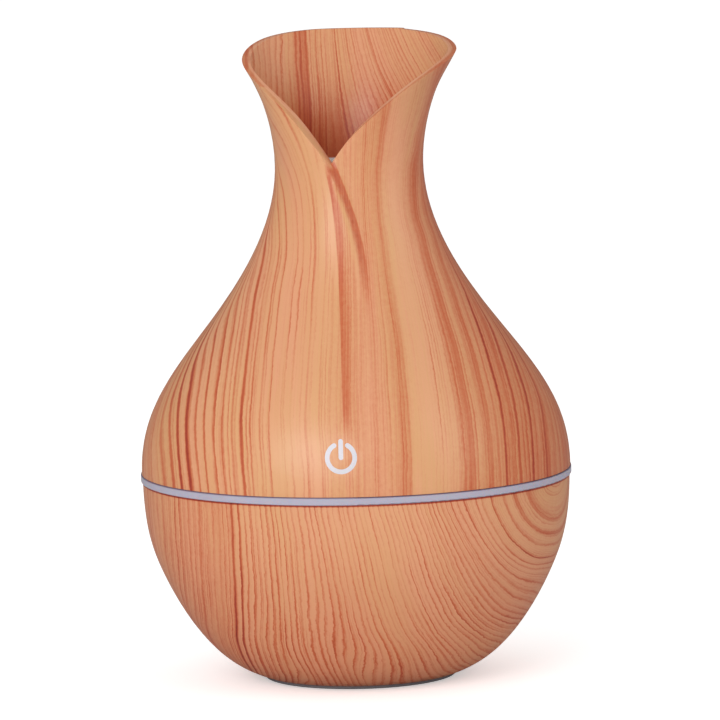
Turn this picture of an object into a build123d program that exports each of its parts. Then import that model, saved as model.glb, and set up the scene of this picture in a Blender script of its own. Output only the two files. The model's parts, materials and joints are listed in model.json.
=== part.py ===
"""Table-top essential oil diffuser in the form of a small vase.

The lower bowl is the water tank. The upper half lifts off it and holds everything else: a moulded shell
with a wrapped-petal collar, a light ring at the waist, a base plate with the circuit board, and a centre
tube that carries the ultrasonic mesh disc high in the neck. A cotton wick in a removable sleeve brings
water up from the tank to the disc.

Millimetres. The origin is on the table under the vase's axis, +Z is up, and the touch key faces -Y.
"""

import os
from math import cos, radians, sin

from build123d import *

os.makedirs("parts", exist_ok=True)

# ---------------------------------------------------------------- driving dimensions
overall_height = 142.0
joint_height = 44.4  # where the head rests on the tank's mouth
widest_radius = 47.7  # the light ring, the widest part of the vase
ring_band = 1.8  # height of the visible light band
shell_wall = 2.0
collar_wall = 1.5
tank_wall = 2.2
touch = 0.05  # gap left between parts that bear on each other

# Tank
foot_proud = 0.8  # how far the foot pad stands below the bowl
bowl_base_radius = 21.8
tank_floor = 3.4
mouth_bore = 43.6
mouth_land = 8.4  # straight length of the mouth's bore
fill_line_height = 30.0

# Head base
plate_thickness = 2.0
plug_radius = 43.2
plug_inner_radius = 39.4
plug_depth = 7.0
seal_section = 2.0
lip_radius = 45.5
lip_thickness = 0.8

# Wick, sleeve and bayonet
wick_radius = 4.0
sleeve_radius = 6.5
sleeve_bore = 4.6
sleeve_bottom = 6.4
sleeve_top = 48.4
socket_radius = 11.2
socket_depth = 8.0
lug_radius = 8.6
lug_height = 1.9
lug_half_angle = 16.0
release_turn = 75.0
spring_length = 6.6

# Centre tube and mist disc
tube_radius = 7.6
tube_bore = 4.5
flange_radius = 12.8
flange_thickness = 2.0
cup_floor = 94.8
cup_radius = 11.2
cup_bore = 9.7
gasket_height = 3.4
gasket_bore = 5.4
disc_radius = 8.0
mesh_thickness = 0.1
piezo_thickness = 0.65
deck_height = 106.0  # top of the deck that closes the neck around the mist outlet

# Circuit board
board_radius = 41.0
board_bottom = 50.2
board_thickness = 1.6
board_hole = 13.4
boss_circle = 35.5
boss_radius = 3.2
boss_angles = (0, 120, 240)
standoff_circle = 27.0
standoff_angles = (60, 180, 300)
led_angles = (22, 60, 98, 145, 180, 218, 302, 340)
usb_width, usb_height, usb_depth = 7.6, 2.8, 5.8
usb_front = 44.6

# Touch key, a symbol of an open ring and a bar
key_height = 54.65
key_offset = -3.2
key_radius = 3.45
key_stroke = 1.0
key_bar = (4.4, 1.0)  # length and width
key_bar_height = 1.75  # middle of the bar above the middle of the ring
key_gap = 29.0
key_board_front = -38.4
key_board_thickness = 1.2

tube_screw_circle = 10.2
tube_screw_angles = (-30, 90, 210)

# Self-tapping screws, as (head radius, head height, shank radius, shank length)
shell_screw = (2.3, 1.5, 1.28, 10.0)
board_screw = (1.9, 1.2, 0.83, 5.2)
tube_screw = (1.7, 1.2, 0.78, 5.0)

# Heights that follow from the ones above
shell_bottom = joint_height + ring_band
plate_top = joint_height + plate_thickness
board_top = board_bottom + board_thickness
mesh_height = cup_floor + 1.5
piezo_top = mesh_height + mesh_thickness + piezo_thickness
cup_top = cup_floor + gasket_height + 0.4
flange_top = plate_top + flange_thickness
lug_bottom = joint_height - 4.2
wick_bottom = sleeve_bottom + 2.0 + spring_length
wick_top = mesh_height - touch
ring_upstand_top = board_bottom - 0.3
usb_height_centre = board_top + usb_height / 2
socket_bottom = joint_height - socket_depth


# ---------------------------------------------------------------- shared shapes
def polar(radius, angle, height=0.0):
    """Point at an angle in degrees from +X."""
    return (radius * cos(radians(angle)), radius * sin(radians(angle)), height)


def from_front(radius, angle, height=0.0):
    """Point at an angle in degrees from -Y, positive towards +X."""
    return polar(radius, angle - 90, height)


def sector(radius, start_angle, arc_size):
    """Pie slice centred on the axis."""
    with BuildSketch() as pie:
        with BuildLine():
            arc = CenterArc((0, 0), radius, start_angle, arc_size)
            Line((0, 0), arc @ 0)
            Line(arc @ 1, (0, 0))
        make_face()
    return pie.sketch


def inside(edge, share, depth):
    """Point at a share along a profile edge, moved in towards the vase's axis by a wall thickness."""
    along = edge % share
    point = edge @ share
    return (point.X - depth * along.Z, point.Z + depth * along.X)


def height_share(edge, height):
    """Share along a profile edge, which rises all the way, at which it reaches a height."""
    low, high = 0.0, 1.0
    for _ in range(40):
        middle = (low + high) / 2
        if (edge @ middle).Z < height:
            low = middle
        else:
            high = middle
    return middle


# Outlines of the vase, from the bottom up, as (radius, height).
waist_radius = widest_radius - 0.2
vase_points = [
    (waist_radius, shell_bottom),
    (44.7, 60.0),
    (31.1, 80.0),
    (19.15, 100.0),
    (16.4, 115.5),
    (19.6, 130.0),
    (26.6, overall_height + 1.0),
]
bowl_points = [
    (bowl_base_radius, foot_proud),
    (33.0, 8.0),
    (43.2, 24.0),
    (widest_radius - 0.4, joint_height),
]

with BuildLine(Plane.XZ) as vase_line:
    Spline(*vase_points, tangents=[(0, 1), (0.5, 1)])
vase_edge = vase_line.edge()

with BuildLine(Plane.XZ) as bowl_line:
    Spline(*bowl_points, tangents=[(1, 0.32), (0.02, 1)])
bowl_edge = bowl_line.edge()


def wall_at(height):
    """Thickness of the shell, which thins towards the collar."""
    share = (height - shell_bottom) / (overall_height - shell_bottom)
    return shell_wall + (collar_wall - shell_wall) * min(max(share, 0), 1)


def vase_radius(height):
    """Outer radius of the vase at a height."""
    return (vase_edge @ height_share(vase_edge, height)).X


def bore_radius(height):
    """Inner radius of the vase's shell at a height."""
    return vase_radius(height) - wall_at(height) * 1.08


# ---------------------------------------------------------------- tank
with BuildPart() as tank_bowl:
    with BuildSketch(Plane.XZ):
        with BuildLine():
            outer = Spline(*bowl_points, tangents=[(1, 0.32), (0.02, 1)])
            mouth_edge = Line(outer @ 1, (mouth_bore, joint_height))
            land = Line(mouth_edge @ 1, (mouth_bore, joint_height - mouth_land))
            inner_points = [inside(bowl_edge, share, tank_wall) for share in (0.72, 0.5, 0.3, 0.12)]
            inner = Spline(land @ 1, *inner_points, (bowl_base_radius - 4, tank_floor),
                           tangents=[(0, -1), (-1, 0)])
            Polyline(inner @ 1, (0, tank_floor), (0, foot_proud), outer @ 0)
        make_face()
    revolve(axis=Axis.Z)
    # Seat for the foot pad
    with BuildSketch(Plane.XY.offset(foot_proud)):
        Circle(bowl_base_radius - 0.5)
        Circle(bowl_base_radius - 7.6, mode=Mode.SUBTRACT)
    extrude(amount=1.0, mode=Mode.SUBTRACT)
    # Lead-in for the seal
    chamfer(tank_bowl.edges().group_by(Axis.Z)[-1].sort_by(SortBy.RADIUS)[0], 0.7)
    # Raised line at the highest water level
    with BuildSketch(Plane.XZ):
        share = height_share(bowl_edge, fill_line_height)
        with Locations(inside(bowl_edge, share, tank_wall + 0.05)):
            Circle(0.45)
    revolve(axis=Axis.Z)

with BuildPart() as foot_pad:
    with BuildSketch():
        Circle(bowl_base_radius - 0.6)
        Circle(bowl_base_radius - 7.5, mode=Mode.SUBTRACT)
    extrude(amount=foot_proud + 1.0)
    fillet(foot_pad.edges().group_by(Axis.Z)[0], 0.3)

# ---------------------------------------------------------------- seal between tank and head
seal_height = joint_height - 3.2
groove_radius = mouth_bore - seal_section - 2 * touch

with BuildPart() as tank_seal:
    with BuildSketch(Plane.XZ):
        with Locations((groove_radius + touch + seal_section / 2, seal_height)):
            Circle(seal_section / 2)
    revolve(axis=Axis.Z)

# ---------------------------------------------------------------- head base
chamber_start = -lug_half_angle - 0.5
chamber_size = release_turn + 2 * lug_half_angle + 1.0
slot_size = 2 * lug_half_angle + 4.0
chamber_slice = sector(lug_radius + 0.3, chamber_start, chamber_size)
slot_slice = sector(lug_radius + 0.3, chamber_start + chamber_size - slot_size, slot_size)

with BuildPart() as head_base:
    with BuildSketch(Plane.XZ):
        with BuildLine():
            Polyline(
                (0, plate_top),
                (plug_radius - 0.3, plate_top),
                (plug_radius - 0.3, joint_height + lip_thickness),
                (lip_radius, joint_height + lip_thickness),
                (lip_radius, joint_height),
                (plug_radius, joint_height),
                (plug_radius, seal_height + 1.2),
                (groove_radius, seal_height + 1.2),
                (groove_radius, seal_height - 1.2),
                (plug_radius, seal_height - 1.2),
                (plug_radius, joint_height - plug_depth + 0.8),
                (plug_radius - 0.8, joint_height - plug_depth),
                (plug_inner_radius, joint_height - plug_depth),
                (plug_inner_radius, joint_height),
                (socket_radius, joint_height),
                (socket_radius, socket_bottom),
                (0, socket_bottom),
                (0, plate_top),
            )
        make_face()
    revolve(axis=Axis.Z)
    # Bore for the sleeve, with a bayonet chamber and its two entry slots
    with BuildSketch(Plane.XY.offset(socket_bottom)):
        Circle(sleeve_radius + 0.1)
    extrude(amount=socket_depth + plate_thickness, mode=Mode.SUBTRACT)
    with BuildSketch(Plane.XY.offset(lug_bottom - 0.1)):
        with PolarLocations(0, 2):
            add(chamber_slice)
    extrude(amount=lug_height + 0.2, mode=Mode.SUBTRACT)
    with BuildSketch(Plane.XY.offset(socket_bottom)):
        with PolarLocations(0, 2):
            add(slot_slice)
    extrude(amount=lug_bottom - socket_bottom, mode=Mode.SUBTRACT)
    # Stiffening ribs under the plate
    with BuildSketch(Plane.XY.offset(joint_height)):
        with PolarLocations((socket_radius + plug_inner_radius) / 2, 6, start_angle=30):
            Rectangle(plug_inner_radius - socket_radius + 0.8, 1.4)
    extrude(amount=-3.0)
    # Standoffs for the circuit board
    with BuildSketch(Plane.XY.offset(plate_top)):
        with Locations(*[polar(standoff_circle, angle) for angle in standoff_angles]):
            Circle(3.0)
    extrude(amount=board_bottom - plate_top)
    with Locations(*[polar(standoff_circle, angle, board_bottom) for angle in standoff_angles]):
        Hole(board_screw[2] + 0.02, depth=4.5)
    # Posts that hold the touch board by its edges
    key_board_middle = key_board_front + key_board_thickness / 2
    with BuildSketch(Plane.XY.offset(plate_top)):
        with Locations((-7.4, key_board_middle), (7.4, key_board_middle)):
            Rectangle(2.8, 3.2)
        with Locations((-6.3, key_board_middle), (6.3, key_board_middle)):
            Rectangle(0.8, key_board_thickness + 2 * touch, mode=Mode.SUBTRACT)
    extrude(amount=6.0)
    # Clearance holes for the shell's screws, and pilot holes for the centre tube's
    with Locations(*[polar(boss_circle, angle, plate_top) for angle in boss_angles]):
        Hole(shell_screw[2] + 0.2, depth=plate_thickness)
    with Locations(*[polar(tube_screw_circle, angle, plate_top) for angle in tube_screw_angles]):
        Hole(tube_screw[2] + 0.02, depth=3.6)

# ---------------------------------------------------------------- light ring
with BuildPart() as light_ring:
    with BuildSketch(Plane.XZ):
        with BuildLine():
            Polyline(
                (lip_radius + 0.1, joint_height),
                (widest_radius, joint_height),
                (widest_radius, shell_bottom),
                (44.8, shell_bottom),
                (44.8, ring_upstand_top),
                (plug_radius, ring_upstand_top),
                (plug_radius, joint_height + lip_thickness),
                (lip_radius + 0.1, joint_height + lip_thickness),
                (lip_radius + 0.1, joint_height),
            )
        make_face()
    revolve(axis=Axis.Z)
    fillet(light_ring.edges().filter_by(
        lambda edge: edge.geom_type == GeomType.CIRCLE and edge.radius > widest_radius - touch), 0.3)

# ---------------------------------------------------------------- upper shell
# The collar's rim, as (angle from the notch, height) on each side, meeting at the back.
notch_angle = -14.0
notch_height = 115.2
rim_left = [
    (0, notch_height), (13, 121.2), (33, 129.2), (60, 135.0), (81, 137.4), (100, 139.4), (123, 141.3),
    (145, 141.9), (166, overall_height),
]
rim_right = [
    (0, notch_height), (10, 120.0), (33, 127.5), (51, 132.6), (70, 136.6), (95, 138.3), (120, 139.9),
    (140, 141.2), (165, 141.9), (194, overall_height),
]


def rim_curve(stations, side, radius):
    """Curve along one side of the rim at a radius, which arrives level at the back."""
    spots = [
        Vector(*from_front(radius, notch_angle + side * angle, height))
        for angle, height in stations
    ]
    arrival = Vector(*from_front(1, notch_angle + side * (stations[-1][0] + 90)))
    return Edge.make_spline(spots, tangents=[(spots[1] - spots[0]).normalized(), arrival])


def rim_surface(stations, side):
    """Ruled surface through one side of the rim, level along every radius, from the bore to the outside."""
    return Face.make_surface_from_curves(rim_curve(stations, side, 9.0), rim_curve(stations, side, 36.0))


# The left petal lies over the right one. Its edge leaves the notch and sweeps down across the front.
fold_bottom = 87.0
fold_top = 134.0
petal_lift = 1.7
petal_span = 60.0  # angle over which the petal rises from the round neck to its crest
lip_angle = 7.0  # angle of the lip's slope, from the crest down to below the round neck


def fold_angle(height):
    """Angle of the petal's crest from the front, at a height."""
    return 5.7 - 0.030 * (height - 88.0) ** 2


def fold_lift(height):
    """How far the petal's edge stands off the round neck: nothing at both ends and most at the notch."""
    share = (height - fold_bottom) / (notch_height - fold_bottom)
    if share < 1:
        return petal_lift * sin(radians(90 * share))
    share = (fold_top - height) / (fold_top - notch_height)
    return petal_lift * sin(radians(90 * share))


def petal_sketch(height, surface_radius, depth):
    """Section of the petal's overlap: a wedge that rises gently to its crest and ends in a short slope."""
    edge_angle = fold_angle(height)
    lift = fold_lift(height)
    shares = (0.0, 0.25, 0.5, 0.75, 1.0)
    rise = [surface_radius - 0.12 + lift * share**2 * (3 - 2 * share) for share in shares]
    crest = [
        from_front(radius, edge_angle - petal_span * (1 - share))
        for radius, share in zip(rise, shares)
    ]
    with BuildSketch(Plane.XY.offset(height)) as section:
        with BuildLine():
            top = Spline(*crest)
            root = CenterArc((0, 0), surface_radius - depth, edge_angle - petal_span - 90,
                             petal_span + lip_angle)
            Line(top @ 1, root @ 1)
            Line(root @ 0, top @ 0)
        make_face()
    return section.sketch


lap_heights = [fold_bottom + step * (fold_top - fold_bottom) / 9 for step in range(10)]
petal_lap = loft([petal_sketch(height, vase_radius(height), 0.7) for height in lap_heights])


# Symbol of the touch key, standing in front of the vase and drawn as seen from -Y
with BuildSketch() as key_symbol:
    with BuildLine():
        arc = CenterArc((0, 0), key_radius - key_stroke / 2, 90 + key_gap, 360 - 2 * key_gap)
        offset(arc, key_stroke / 2, kind=Kind.ARC, side=Side.BOTH)
    make_face()
    with Locations((0, key_bar_height)):
        SlotOverall(*key_bar, rotation=90)

key_plane = Plane(origin=(key_offset, -30, key_height), x_dir=(1, 0, 0), z_dir=(0, -1, 0))

with BuildPart() as vase_wall:
    with BuildSketch(Plane.XZ):
        with BuildLine():
            outer = Spline(*vase_points, tangents=[(0, 1), (0.5, 1)])
            shares = [step / 12 for step in range(12, -1, -1)]
            inner = Spline(*[inside(vase_edge, share, wall_at((vase_edge @ share).Z)) for share in shares])
            Line(outer @ 1, inner @ 0)
            Line(inner @ 1, outer @ 0)
        make_face()
    revolve(axis=Axis.Z)

with BuildPart() as boss_stock:
    with BuildSketch(Plane.XY.offset(plate_top)):
        with Locations(*[polar(boss_circle, angle) for angle in boss_angles]):
            Circle(boss_radius)
    extrude(amount=30)
    with BuildSketch(Plane.XZ):
        with BuildLine():
            middle = Spline(*[inside(vase_edge, step / 12, 0.9) for step in range(13)])
            Polyline(middle @ 1, (0, overall_height), (0, shell_bottom), middle @ 0)
        make_face()
    revolve(axis=Axis.Z, mode=Mode.INTERSECT)

with BuildPart() as upper_shell:
    add(vase_wall)
    add(petal_lap)
    for surface in (rim_surface(rim_left, -1), rim_surface(rim_right, 1)):
        extrude(surface, amount=40, dir=(0, 0, 1), mode=Mode.SUBTRACT)
    add(boss_stock)
    boss_feet = [Location(polar(boss_circle, angle, plate_top), (180, 0, 0)) for angle in boss_angles]
    with Locations(*boss_feet):
        Hole(shell_screw[2] + 0.02, depth=9.0)
    # Window for the touch symbol and opening for the USB plug
    with BuildSketch(key_plane):
        add(key_symbol.sketch)
    extrude(amount=30, mode=Mode.SUBTRACT)
    with BuildSketch(Plane.XZ.offset(-40)):
        with Locations((0, usb_height_centre)):
            RectangleRounded(11.0, 6.4, 1.6)
    extrude(amount=-12, mode=Mode.SUBTRACT)

# ---------------------------------------------------------------- touch key
def behind_wall(start, end):
    """Ring of the vase's shape behind the key, between two depths from the shell's inner surface."""
    heights = [key_height + step for step in (-7.4, -4, 0, 4, 7.4)]
    shares = [height_share(vase_edge, height) for height in heights]
    near = [inside(vase_edge, share, wall_at(height) + start) for share, height in zip(shares, heights)]
    far = [inside(vase_edge, share, wall_at(height) + end) for share, height in zip(shares, heights)]
    with BuildPart() as ring:
        with BuildSketch(Plane.XZ):
            with BuildLine():
                face = Spline(*near)
                back = Spline(*far)
                Line(face @ 0, back @ 0)
                Line(face @ 1, back @ 1)
            make_face()
        revolve(axis=Axis.Z)
    return ring.part


# The symbol's ring and bar stand through the shell, on one backing plate inside it
backing_ring = behind_wall(0.1, 1.0)
bridging_ring = behind_wall(-0.4, 0.6)

with BuildPart() as key_backing:
    add(backing_ring)
    with BuildSketch(key_plane):
        with Locations((0, 0.4)):
            RectangleRounded(10.6, 10.2, 1.5)
    extrude(amount=30, mode=Mode.INTERSECT)

with BuildPart() as touch_symbol:
    add(vase_wall)
    add(bridging_ring)
    with BuildSketch(key_plane):
        add(key_symbol.sketch)
    extrude(amount=30, mode=Mode.INTERSECT)
    add(key_backing)

with BuildPart() as touch_board:
    with BuildSketch(Plane.XY.offset(plate_top + touch)):
        with Locations((0, key_board_middle)):
            Rectangle(13.2, key_board_thickness)
    extrude(amount=15.0)
    with BuildSketch(Plane.XZ.offset(-key_board_front)):
        with Locations((-4.9, plate_top + 13.2), (4.9, plate_top + 13.2)):
            Circle(0.6)
    extrude(amount=-3, mode=Mode.SUBTRACT)

spring_wire = 0.3
with BuildPart() as touch_spring:
    with BuildLine() as coil:
        spring_foot = from_front(-key_board_front + 0.35, 0, key_height)
        Helix(0.85, 3.0, 3.0, center=spring_foot, direction=(0, -1, 0))
    with BuildSketch(Plane(origin=coil.wires()[0] @ 0, z_dir=coil.wires()[0] % 0)):
        Circle(spring_wire)
    sweep(is_frenet=True)

with BuildPart() as symbol_led:
    with Locations((0, key_board_front - 0.45, key_height)):
        Box(1.6, 0.9, 0.8)

# ---------------------------------------------------------------- circuit board
with BuildPart() as circuit_board:
    with BuildSketch(Plane.XY.offset(board_bottom)):
        Circle(board_radius)
        Circle(board_hole, mode=Mode.SUBTRACT)
        with PolarLocations(board_radius, 3):
            Rectangle(20.0, 2 * boss_radius + 1.6, mode=Mode.SUBTRACT)
        with Locations((0, -board_radius)):
            Rectangle(19.0, 12.4, mode=Mode.SUBTRACT)
        with Locations(*[polar(standoff_circle, angle) for angle in standoff_angles]):
            Circle(board_screw[2] + 0.25, mode=Mode.SUBTRACT)
    extrude(amount=board_thickness)

with BuildPart() as usb_socket:
    with BuildSketch(Plane.XZ.offset(-usb_front)):
        with Locations((0, usb_height_centre)):
            Trapezoid(usb_width, usb_height, 78, rotation=180)
    extrude(amount=usb_depth)
    fillet(usb_socket.edges().filter_by(Axis.Y), 0.4)
    with BuildSketch(Plane.XZ.offset(-usb_front)):
        with Locations((0, usb_height_centre)):
            Trapezoid(usb_width - 0.8, usb_height - 0.7, 78, rotation=180)
    extrude(amount=usb_depth - 0.6, mode=Mode.SUBTRACT)
    with BuildSketch(Plane.XZ.offset(-usb_front + usb_depth)):
        with Locations((0, usb_height_centre + 0.1)):
            Rectangle(3.8, 0.6)
    extrude(amount=-usb_depth + 0.8)

with BuildPart() as controller_chip:
    with Locations((-17.0, 14.0, board_top + 0.85)):
        Box(5.0, 4.0, 1.5)
    chamfer(controller_chip.edges().group_by(Axis.Z)[-1], 0.3)
    with BuildSketch(Plane.XY.offset(board_top)):
        with Locations((-17.0, 14.0)):
            with GridLocations(1.27, 5.0, 4, 2):
                Rectangle(0.45, 1.2)
    extrude(amount=0.4)

with BuildPart() as inductor:
    with Locations((17.0, 15.0, board_top)):
        Cylinder(4.0, 0.9, align=(Align.CENTER, Align.CENTER, Align.MIN))
        Cylinder(3.0, 4.6, align=(Align.CENTER, Align.CENTER, Align.MIN))
    with Locations((17.0, 15.0, board_top + 3.7)):
        Cylinder(4.0, 0.9, align=(Align.CENTER, Align.CENTER, Align.MIN))

with BuildPart() as capacitor:
    with Locations((17.0, -15.0, board_top)):
        Cylinder(3.15, 6.4, align=(Align.CENTER, Align.CENTER, Align.MIN))
    fillet(capacitor.edges().group_by(Axis.Z)[-1], 0.5)

with BuildPart() as light_leds:
    with BuildSketch(Plane.XY.offset(board_bottom)):
        for angle in led_angles:
            with Locations(Location(polar(board_radius - 1.8, angle), angle)):
                Rectangle(2.8, 3.5)
    extrude(amount=-1.9)

# ---------------------------------------------------------------- centre tube and mist disc
with BuildPart() as centre_tube:
    with BuildSketch(Plane.XZ):
        with BuildLine():
            Polyline(
                (sleeve_radius + 0.3, plate_top),
                (flange_radius, plate_top),
                (flange_radius, flange_top),
                (tube_radius, flange_top),
                (tube_radius, cup_floor - 5.0),
                (cup_radius, cup_floor - 1.6),
                (cup_radius, cup_top),
                (cup_bore, cup_top),
                (cup_bore, cup_floor),
                (tube_bore, cup_floor),
                (tube_bore, sleeve_top + 3.0),
                (sleeve_radius + 0.3, sleeve_top + 1.0),
                (sleeve_radius + 0.3, plate_top),
            )
        make_face()
    revolve(axis=Axis.Z)
    # Passage for the disc's wires
    with Locations((8.8, 0, cup_floor - 3.0)):
        Box(1.8, 3.4, 8.0, mode=Mode.SUBTRACT)
    with Locations(*[polar(tube_screw_circle, angle, flange_top) for angle in tube_screw_angles]):
        Hole(tube_screw[2] + 0.2, depth=flange_thickness)

with BuildPart() as disc_gasket:
    with BuildSketch(Plane.XY.offset(cup_floor)):
        Circle(cup_bore - touch)
        Circle(gasket_bore, mode=Mode.SUBTRACT)
    extrude(amount=gasket_height)
    with BuildSketch(Plane.XY.offset(mesh_height)):
        Circle(disc_radius)
    extrude(amount=mesh_thickness + piezo_thickness, mode=Mode.SUBTRACT)
    with Locations((8.6, 0, cup_floor + gasket_height / 2)):
        Box(3.0, 3.4, gasket_height, mode=Mode.SUBTRACT)

with BuildPart() as mist_mesh:
    with BuildSketch(Plane.XY.offset(mesh_height)):
        Circle(disc_radius - touch)
    extrude(amount=mesh_thickness)
    # The middle, where the fine holes are, is pressed up into a shallow dome
    with BuildSketch(Plane.XZ):
        with BuildLine():
            dome = ThreePointArc((-2.0, mesh_height), (0, mesh_height + 0.35), (2.0, mesh_height))
            Line(dome @ 1, (2.0, mesh_height + mesh_thickness))
            under = ThreePointArc((2.0, mesh_height + mesh_thickness), (0, mesh_height + 0.45),
                                  (-2.0, mesh_height + mesh_thickness))
            Line(under @ 1, dome @ 0)
        make_face()
        with Locations((-5, mesh_height)):
            Rectangle(10, 10, mode=Mode.SUBTRACT)
    revolve(axis=Axis.Z)

with BuildPart() as piezo_ring:
    with BuildSketch(Plane.XY.offset(mesh_height + mesh_thickness)):
        Circle(disc_radius - 2 * touch)
        Circle(disc_radius / 2, mode=Mode.SUBTRACT)
    extrude(amount=piezo_thickness)

deck_radius = bore_radius(deck_height) - 0.25
with BuildPart() as mist_nozzle:
    with BuildSketch(Plane.XZ):
        with BuildLine():
            clamp_face = cup_floor + gasket_height
            throat = Spline((gasket_bore, clamp_face), (5.9, clamp_face + 4.0), (8.0, deck_height - 0.8),
                            tangents=[(0, 1), (0.6, 0.5)])
            deck = Spline(throat @ 1, (11.0, deck_height), (deck_radius, deck_height),
                          tangents=[(0.6, 0.5), (1, 0)])
            Polyline(
                deck @ 1,
                (deck_radius, deck_height - 1.6),
                (9.2, deck_height - 2.2),
                (7.6, cup_top + 1.4),
                (cup_radius + 1.3, cup_top + 1.4),
                (cup_radius + 1.3, cup_floor + 0.8),
                (cup_radius + touch, cup_floor + 0.8),
                (cup_radius + touch, cup_top + touch),
                (cup_bore - touch, cup_top + touch),
                (cup_bore - touch, clamp_face),
                throat @ 0,
            )
        make_face()
    revolve(axis=Axis.Z)

# ---------------------------------------------------------------- wick, sleeve and springs
seal_groove = sleeve_radius - 0.9
seal_groove_height = joint_height + 0.3

with BuildPart() as wick_sleeve:
    with BuildSketch(Plane.XY.offset(sleeve_bottom)):
        Circle(sleeve_radius)
    extrude(amount=sleeve_top - sleeve_bottom)
    with BuildSketch(Plane.XY.offset(lug_bottom)):
        with PolarLocations(0, 2):
            add(sector(lug_radius, -lug_half_angle, 2 * lug_half_angle))
    extrude(amount=lug_height)
    with BuildSketch(Plane.XY.offset(sleeve_bottom + 2.0)):
        Circle(sleeve_bore)
    extrude(amount=sleeve_top, mode=Mode.SUBTRACT)
    with BuildSketch(Plane.XY.offset(sleeve_bottom)):
        Circle(2.2)
    extrude(amount=2.0, mode=Mode.SUBTRACT)
    # Slots that let the water in
    with BuildSketch(Plane.XZ):
        with Locations((0, 16.0), (0, 28.0)):
            SlotOverall(9.0, 3.0, rotation=90)
    extrude(amount=10, both=True, mode=Mode.SUBTRACT)
    with BuildSketch(Plane.YZ):
        with Locations((0, 16.0), (0, 28.0)):
            SlotOverall(9.0, 3.0, rotation=90)
    extrude(amount=10, both=True, mode=Mode.SUBTRACT)
    with BuildSketch(Plane.XY.offset(seal_groove_height - 0.55)):
        Circle(sleeve_radius + 1)
        Circle(seal_groove, mode=Mode.SUBTRACT)
    extrude(amount=1.1, mode=Mode.SUBTRACT)
    # Finger grip at the foot of the sleeve
    with BuildSketch(Plane.XY.offset(sleeve_bottom)):
        with PolarLocations(sleeve_radius + 0.2, 12, start_angle=15):
            Circle(0.6)
    extrude(amount=3.0)

with BuildPart() as sleeve_seal:
    with BuildSketch(Plane.XZ):
        with Locations((seal_groove + touch + 0.45, seal_groove_height)):
            Circle(0.45)
    revolve(axis=Axis.Z)

with BuildPart() as wick:
    with BuildSketch(Plane.XY.offset(wick_bottom)):
        Circle(wick_radius)
    extrude(amount=wick_top - wick_bottom)
    fillet(wick.edges().filter_by(GeomType.CIRCLE), 0.6)

with BuildPart() as wick_spring:
    with BuildLine() as coil:
        Helix(1.5, spring_length - 0.8, 3.3, center=(0, 0, sleeve_bottom + 2.4))
    with BuildSketch(Plane(origin=coil.wires()[0] @ 0, z_dir=coil.wires()[0] % 0)):
        Circle(0.35)
    sweep(is_frenet=True)


# ---------------------------------------------------------------- wires
def wire(points, tangents, radius):
    """Round wire along a smooth curve."""
    with BuildPart() as lead:
        with BuildLine() as run:
            Spline(*points, tangents=tangents)
        with BuildSketch(Plane(origin=points[0], z_dir=tangents[0])):
            Circle(radius)
        sweep()
    return lead.part


disc_leads = [
    wire([(16.0, side, board_top), (13.0, side, 64.0), (8.85, side, 84.0), (8.85, side, 95.0),
          (7.3, side, piezo_top + 0.55)], [(0, 0, 1), (-1, 0, -0.1)], 0.35)
    for side in (-0.9, 0.9)
]
touch_leads = [
    wire([(side, key_board_front + key_board_thickness, 57.5), (side, -33.0, 57.0),
          (side, -30.5, board_top)], [(0, 1, 0), (0, 0, -1)], 0.35)
    for side in (-2.0, 0.0, 2.0)
]

with BuildPart() as disc_wires:
    add(disc_leads)

with BuildPart() as touch_wires:
    add(touch_leads)


# ---------------------------------------------------------------- screws
def pan_screw(head_radius, head_height, shank_radius, shank_length):
    """Cross-recess screw that points down from the origin, with its head above."""
    with BuildPart() as screw:
        with BuildSketch():
            Circle(head_radius)
        extrude(amount=head_height)
        fillet(screw.edges().group_by(Axis.Z)[-1], head_height * 0.5)
        with BuildSketch(Plane.XY.offset(head_height)):
            Rectangle(head_radius * 1.1, head_radius * 0.3)
            Rectangle(head_radius * 0.3, head_radius * 1.1)
        extrude(amount=-head_height * 0.6, mode=Mode.SUBTRACT)
        with BuildSketch():
            Circle(shank_radius)
        extrude(amount=-shank_length)
        chamfer(screw.edges().group_by(Axis.Z)[0], shank_radius * 0.5)
    return screw.part


one_shell_screw = pan_screw(*shell_screw)
one_board_screw = pan_screw(*board_screw)
one_tube_screw = pan_screw(*tube_screw)

with BuildPart() as shell_screws:
    screw_seats = [Location(polar(boss_circle, angle, joint_height), (180, 0, 0)) for angle in boss_angles]
    with Locations(*screw_seats):
        add(one_shell_screw)

with BuildPart() as board_screws:
    with Locations(*[polar(standoff_circle, angle, board_top) for angle in standoff_angles]):
        add(one_board_screw)

with BuildPart() as tube_screws:
    with Locations(*[polar(tube_screw_circle, angle, flange_top) for angle in tube_screw_angles]):
        add(one_tube_screw)

# ---------------------------------------------------------------- one file per piece
tank_bowl.part.label = "tank_bowl"
export_step(tank_bowl.part, "parts/tank_bowl.step")
foot_pad.part.label = "foot_pad"
export_step(foot_pad.part, "parts/foot_pad.step")
tank_seal.part.label = "tank_seal"
export_step(tank_seal.part, "parts/tank_seal.step")
head_base.part.label = "head_base"
export_step(head_base.part, "parts/head_base.step")
light_ring.part.label = "light_ring"
export_step(light_ring.part, "parts/light_ring.step")
upper_shell.part.label = "upper_shell"
export_step(upper_shell.part, "parts/upper_shell.step")
touch_symbol.part.label = "touch_symbol"
export_step(touch_symbol.part, "parts/touch_symbol.step")
touch_board.part.label = "touch_board"
export_step(touch_board.part, "parts/touch_board.step")
touch_spring.part.label = "touch_spring"
export_step(touch_spring.part, "parts/touch_spring.step")
symbol_led.part.label = "symbol_led"
export_step(symbol_led.part, "parts/symbol_led.step")
circuit_board.part.label = "circuit_board"
export_step(circuit_board.part, "parts/circuit_board.step")
usb_socket.part.label = "usb_socket"
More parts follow.
